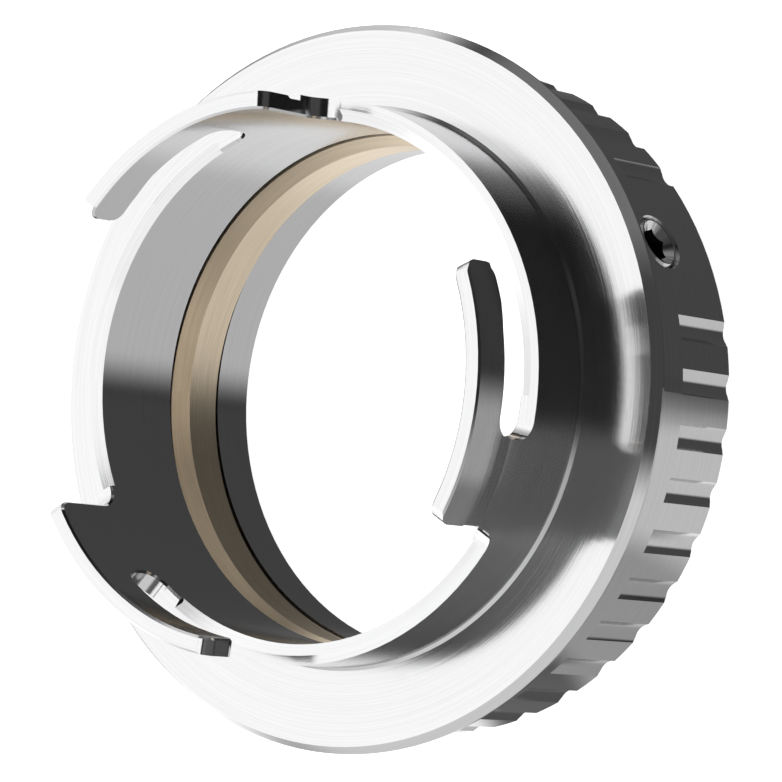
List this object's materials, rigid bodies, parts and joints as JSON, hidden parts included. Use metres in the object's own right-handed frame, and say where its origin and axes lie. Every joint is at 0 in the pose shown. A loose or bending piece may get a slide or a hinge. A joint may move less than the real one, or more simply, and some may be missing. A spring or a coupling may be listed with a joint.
{
  "type": "spotting scope adapter",
  "caption": "Bayonet adapter ring for a spotting scope, with three slotted hook arms, a fluted grip and a brass clamp ring.",
  "frame": {"origin": "centre of the back face, on the bore axis", "axes": "+Z along the bore axis from the back face towards the bayonet arms; +X and +Y lie in the back face"},
  "size_m": [0.058, 0.058, 0.0272],
  "materials": {
    "satin_steel": "fine turned and brushed, slightly glossy",
    "brass": "fine turned, matt",
    "screw_steel": "bright bevel, dark socket"
  },
  "bodies": {
    "adapter": {"bayonet_body": "satin_steel", "clamp_ring": "brass"},
    "screw_1": {"set_screw_1": "screw_steel"},
    "screw_2": {"set_screw_2": "screw_steel"},
    "screw_3": {"set_screw_3": "screw_steel"}
  },
  "joints": [
    {"name": "screw_1_travel", "type": "slide", "parent": "adapter", "child": "screw_1", "axis": [0.8988, 0.4384, 0], "range_m": [0, 0.0035]},
    {"name": "screw_2_travel", "type": "slide", "parent": "adapter", "child": "screw_2", "axis": [-0.829, 0.5592, 0], "range_m": [0, 0.0035]},
    {"name": "screw_3_travel", "type": "slide", "parent": "adapter", "child": "screw_3", "axis": [-0.0698, -0.9976, 0], "range_m": [0, 0.0035]}
  ]
}
